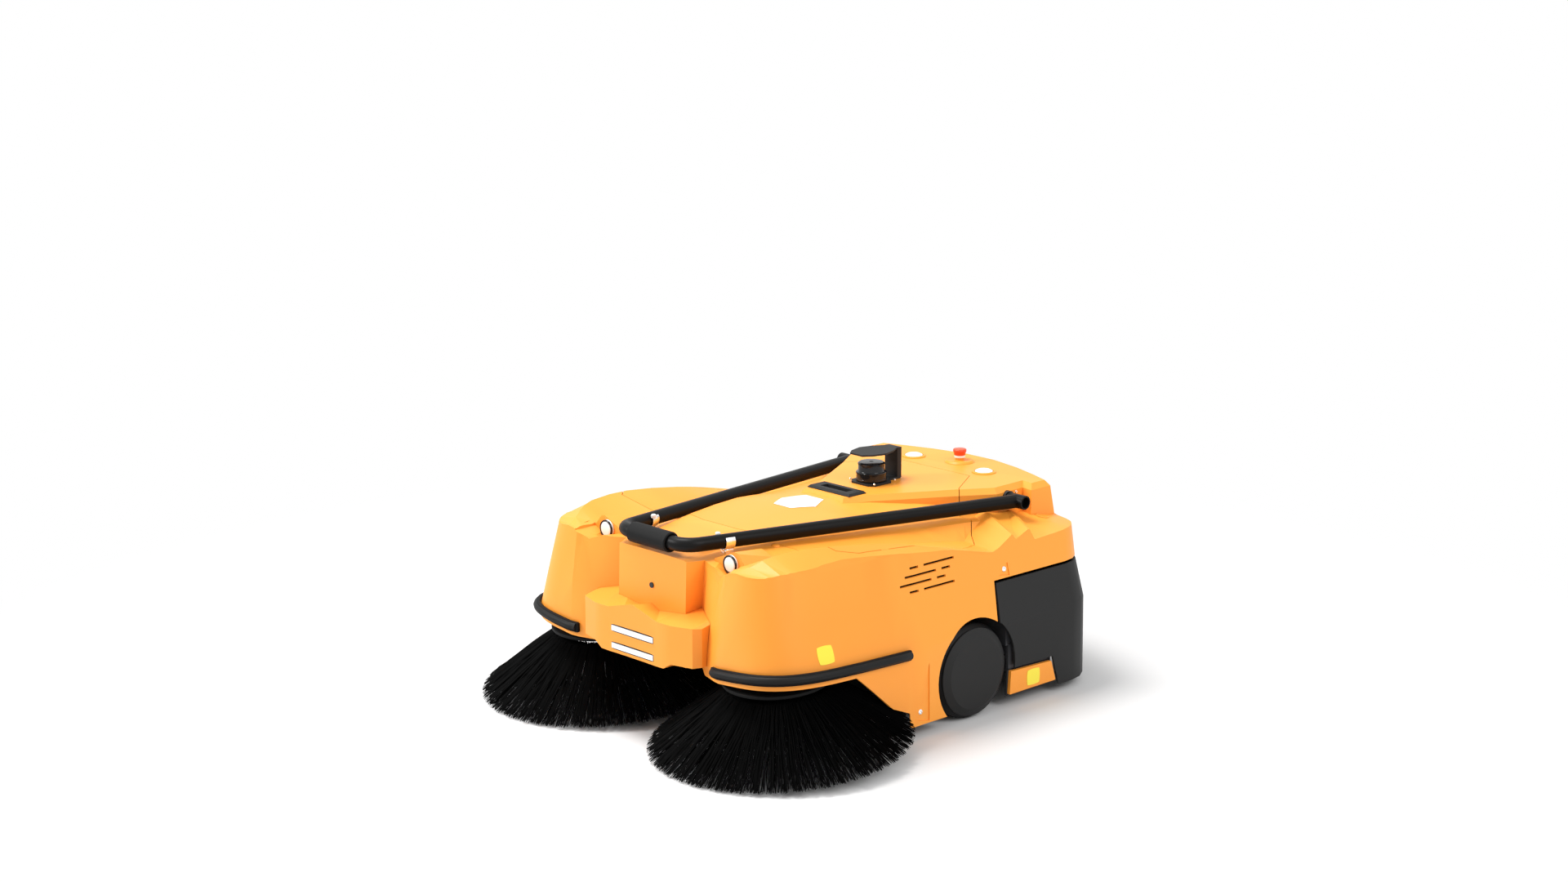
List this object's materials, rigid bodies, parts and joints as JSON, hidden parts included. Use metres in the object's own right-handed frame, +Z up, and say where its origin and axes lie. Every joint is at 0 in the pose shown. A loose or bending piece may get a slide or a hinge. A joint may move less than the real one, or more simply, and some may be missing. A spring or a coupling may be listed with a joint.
{
  "type": "autonomous sweeper robot",
  "caption": "Low autonomous floor sweeper with front side brushes, drive wheels, rear castors, a lidar, a folding push handle and a slide-out debris hopper.",
  "frame": {"origin": "on the floor under the middle of the overall box, where the machine stands", "axes": "+Z up, -Y is the front with the brushes, +X is the machine's left"},
  "size_m": [1.0026, 1.1192, 0.462],
  "materials": {
    "orange_plastic": "satin",
    "dark_panel": "satin",
    "black_plastic": "gloss",
    "grip_foam": "matte",
    "handle_steel": "matte",
    "tyre_rubber": "matte",
    "bristle": "matte",
    "chrome": "polished",
    "white_lens": "gloss",
    "red_button": "gloss",
    "dark_steel": "satin",
    "motor_metal": "satin",
    "battery_case": "matte"
  },
  "bodies": {
    "body": {"main_cowl": "orange_plastic", "top_lid": "orange_plastic", "nose_block": "orange_plastic", "lift_plate_left": "orange_plastic", "lift_plate_right": "orange_plastic", "estop_base": "orange_plastic", "lidar_bracket": "dark_panel", "lid_grip": "dark_panel", "nose_sensor": "black_plastic", "collector_ramp": "black_plastic", "lidar_body": "black_plastic", "handle_bush_left": "black_plastic", "handle_bush_right": "black_plastic", "bumper_strip_left": "grip_foam", "bumper_strip_right": "grip_foam", "clip_left": "chrome", "clip_right": "chrome", "lamp_left": "white_lens", "lamp_right": "white_lens", "dome_left": "white_lens", "dome_right": "white_lens", "charge_contact_lower": "white_lens", "charge_contact_upper": "white_lens", "estop_button": "red_button", "chassis_frame": "dark_steel", "brush_motor_left": "motor_metal", "brush_motor_right": "motor_metal", "drive_motor_left": "motor_metal", "drive_motor_right": "motor_metal", "battery_pack": "battery_case"},
    "brush_left": {"brush_left_hub": "black_plastic", "brush_left_bristles": "bristle"},
    "wheel_left": {"wheel_left_tyre": "tyre_rubber", "wheel_left_hub": "dark_panel"},
    "castor_left_swivel": {"castor_left_fork": "dark_steel"},
    "castor_left_roller": {"castor_left_wheel": "tyre_rubber"},
    "brush_right": {"brush_right_hub": "black_plastic", "brush_right_bristles": "bristle"},
    "wheel_right": {"wheel_right_tyre": "tyre_rubber", "wheel_right_hub": "dark_panel"},
    "castor_right_swivel": {"castor_right_fork": "dark_steel"},
    "castor_right_roller": {"castor_right_wheel": "tyre_rubber"},
    "handle": {"handle_tube": "handle_steel", "handle_grip": "grip_foam"},
    "hopper": {"hopper_bin": "dark_panel"}
  },
  "joints": [
    {"name": "brush_left_spin", "type": "hinge", "parent": "body", "child": "brush_left", "pos_m": [0.252, -0.32214, 0.15492], "axis": [0, -0.0872, 0.9962], "continuous": true},
    {"name": "brush_right_spin", "type": "hinge", "parent": "body", "child": "brush_right", "pos_m": [-0.252, -0.32214, 0.15492], "axis": [0, -0.0872, 0.9962], "continuous": true},
    {"name": "wheel_left_spin", "type": "hinge", "parent": "body", "child": "wheel_left", "pos_m": [0.3382, 0.09833, 0.095], "axis": [1, 0, 0], "continuous": true},
    {"name": "wheel_right_spin", "type": "hinge", "parent": "body", "child": "wheel_right", "pos_m": [-0.3382, 0.09833, 0.095], "axis": [1, 0, 0], "continuous": true},
    {"name": "castor_left_swivel", "type": "hinge", "parent": "body", "child": "castor_left_swivel", "pos_m": [0.275, 0.32233, 0.1047], "axis": [0, 0, 1], "continuous": true},
    {"name": "castor_left_roll", "type": "hinge", "parent": "castor_left_swivel", "child": "castor_left_roller", "pos_m": [0.275, 0.35233, 0.0375], "axis": [1, 0, 0], "continuous": true},
    {"name": "castor_right_swivel", "type": "hinge", "parent": "body", "child": "castor_right_swivel", "pos_m": [-0.275, 0.32233, 0.1047], "axis": [0, 0, 1], "continuous": true},
    {"name": "castor_right_roll", "type": "hinge", "parent": "castor_right_swivel", "child": "castor_right_roller", "pos_m": [-0.275, 0.35233, 0.0375], "axis": [1, 0, 0], "continuous": true},
    {"name": "handle_swing", "type": "hinge", "parent": "body", "child": "handle", "pos_m": [0, 0.35633, 0.37], "axis": [-1, 0, 0], "range_deg": [0, 120]},
    {"name": "hopper_slide", "type": "slide", "parent": "body", "child": "hopper", "axis": [0, 1, 0], "range_m": [0, 0.3]}
  ]
}
